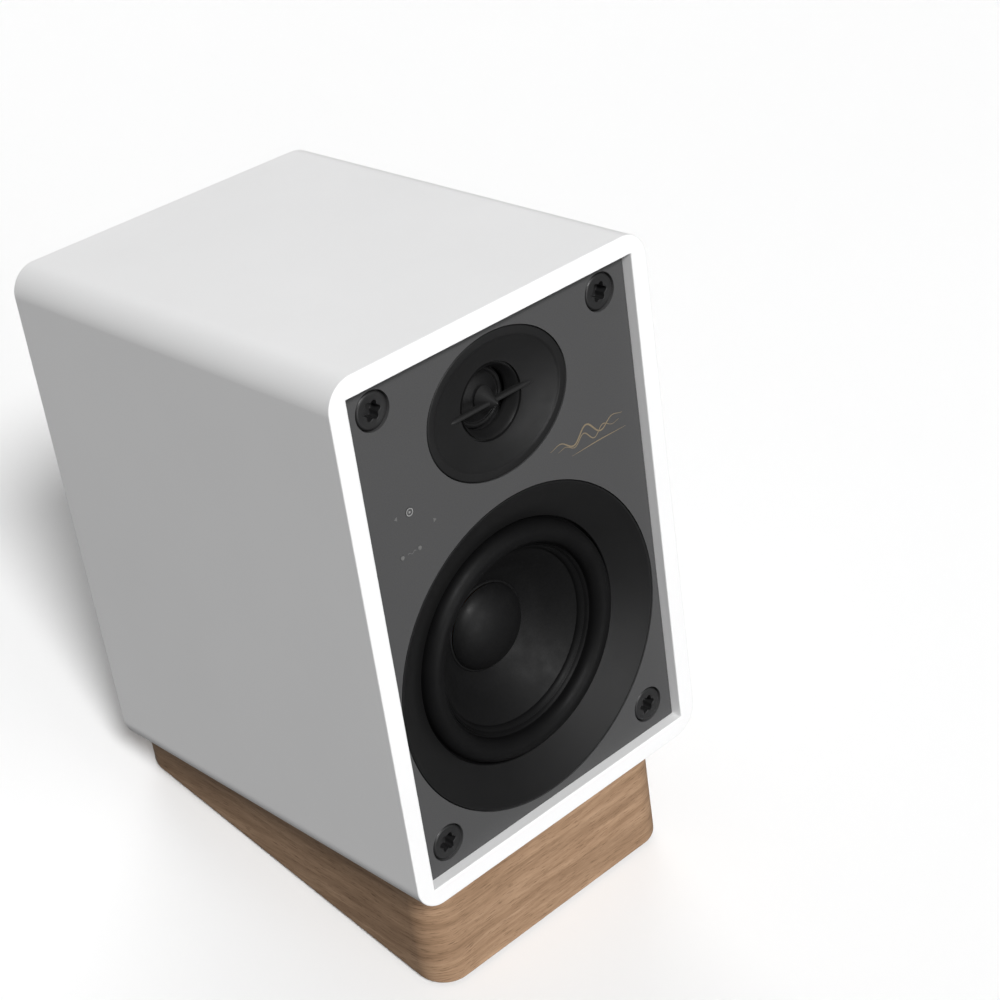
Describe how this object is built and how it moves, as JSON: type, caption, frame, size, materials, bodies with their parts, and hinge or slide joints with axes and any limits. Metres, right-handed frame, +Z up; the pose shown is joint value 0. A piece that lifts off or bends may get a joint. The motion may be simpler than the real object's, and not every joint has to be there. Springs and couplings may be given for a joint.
{
  "type": "bookshelf speaker",
  "caption": "Active bookshelf speaker with a white round-edged cabinet, charcoal baffle, woofer and horn tweeter, leaning back on a walnut wedge stand.",
  "frame": {"origin": "on the floor, under the middle of the bounding box", "axes": "-Y is the side the drivers face, +X is to the right seen from the front, +Z is up"},
  "size_m": [0.1592, 0.2364, 0.2843],
  "materials": {
    "white_lacquer": "white satin lacquer over board",
    "pine_block": "sawn",
    "charcoal_baffle": "matt charcoal paint on board",
    "black_steel": "black",
    "black_plastic": "fine satin texture",
    "zinc_steel": "zinc plated",
    "surround_rubber": "satin",
    "spider_cloth": "resin-treated cloth",
    "ferrite": "matt",
    "light_pipe": "clear",
    "circuit_board": "solder mask",
    "black_paint": "black paint on board",
    "plate_metal": "black powder coat",
    "jack_white": "white",
    "jack_red": "red",
    "gold_plate": "gold plated",
    "walnut": "oiled walnut veneer",
    "foot_rubber": "matt",
    "paper_cone": "black pulp",
    "dust_cap": "matt",
    "copper_winding": "enamelled wire",
    "dome_silk": "coated silk",
    "knob_plastic": "satin",
    "cap_red": "red",
    "cap_black": "black"
  },
  "bodies": {
    "root": {"cabinet_shell": "white_lacquer", "corner_block_1": "pine_block", "corner_block_2": "pine_block", "corner_block_3": "pine_block", "corner_block_4": "pine_block", "front_baffle": "charcoal_baffle", "baffle_screw_1": "black_steel", "baffle_screw_2": "black_steel", "baffle_screw_3": "black_steel", "baffle_screw_4": "black_steel", "woofer_trim_ring": "black_plastic", "woofer_basket": "black_steel", "woofer_screw_1": "zinc_steel", "woofer_screw_2": "zinc_steel", "woofer_screw_3": "zinc_steel", "woofer_screw_4": "zinc_steel", "woofer_surround": "surround_rubber", "woofer_spider": "spider_cloth", "woofer_top_plate": "zinc_steel", "woofer_magnet": "ferrite", "woofer_yoke": "zinc_steel", "tweeter_faceplate": "black_plastic", "tweeter_bridge": "black_plastic", "tweeter_magnet_cup": "zinc_steel", "indicator_light_1": "light_pipe", "indicator_light_2": "light_pipe", "indicator_light_3": "light_pipe", "indicator_board": "circuit_board", "rear_panel": "black_paint", "port_tube": "black_plastic", "amplifier_plate": "plate_metal", "plate_screw_1": "black_steel", "plate_screw_2": "black_steel", "plate_screw_3": "black_steel", "plate_screw_4": "black_steel", "amplifier_board": "circuit_board", "power_transformer": "zinc_steel", "mains_inlet": "black_plastic", "rca_jack_white": "jack_white", "rca_jack_red": "jack_red", "terminal_post_red": "gold_plate", "terminal_post_black": "gold_plate", "switch_housing": "black_plastic", "wedge_stand": "walnut", "stand_screw_1": "zinc_steel", "stand_screw_2": "zinc_steel", "stand_foot_1": "foot_rubber", "stand_foot_2": "foot_rubber", "stand_foot_3": "foot_rubber", "stand_foot_4": "foot_rubber"},
    "woofer_cone_body": {"woofer_cone": "paper_cone", "woofer_dust_cap": "dust_cap", "woofer_voice_coil": "copper_winding"},
    "tweeter_dome_body": {"tweeter_dome": "dome_silk"},
    "volume_knob_body": {"volume_knob": "knob_plastic"},
    "treble_knob_body": {"treble_knob": "knob_plastic"},
    "bass_knob_body": {"bass_knob": "knob_plastic"},
    "rocker_body": {"power_rocker": "knob_plastic"},
    "red_cap_body": {"terminal_cap_red": "cap_red"},
    "black_cap_body": {"terminal_cap_black": "cap_black"}
  },
  "joints": [
    {"name": "woofer_travel", "type": "slide", "parent": "root", "child": "woofer_cone_body", "axis": [0, -0.9848, 0.1736], "range_m": [-0.003, 0.003], "stiffness_N_per_m": 1100},
    {"name": "tweeter_travel", "type": "slide", "parent": "root", "child": "tweeter_dome_body", "axis": [0, -0.9848, 0.1736], "range_m": [-0.00025, 0.00025], "stiffness_N_per_m": 1500},
    {"name": "volume_turn", "type": "hinge", "parent": "root", "child": "volume_knob_body", "pos_m": [-0.034, 0.10276, 0.15494], "axis": [0, 0.9848, -0.1736], "range_deg": [-150, 150]},
    {"name": "treble_turn", "type": "hinge", "parent": "root", "child": "treble_knob_body", "pos_m": [0.002, 0.10276, 0.15494], "axis": [0, 0.9848, -0.1736], "range_deg": [-150, 150]},
    {"name": "bass_turn", "type": "hinge", "parent": "root", "child": "bass_knob_body", "pos_m": [0.032, 0.10276, 0.15494], "axis": [0, 0.9848, -0.1736], "range_deg": [-150, 150]},
    {"name": "power_switch", "type": "hinge", "parent": "root", "child": "rocker_body", "pos_m": [0.026, 0.08685, 0.07448], "axis": [1, 0, 0], "range_deg": [-14, 0]},
    {"name": "red_cap_turn", "type": "hinge", "parent": "root", "child": "red_cap_body", "pos_m": [0.012, 0.09843, 0.11712], "axis": [0, 0.9848, -0.1736], "continuous": true},
    {"name": "black_cap_turn", "type": "hinge", "parent": "root", "child": "black_cap_body", "pos_m": [0.036, 0.09843, 0.11712], "axis": [0, 0.9848, -0.1736], "continuous": true}
  ]
}
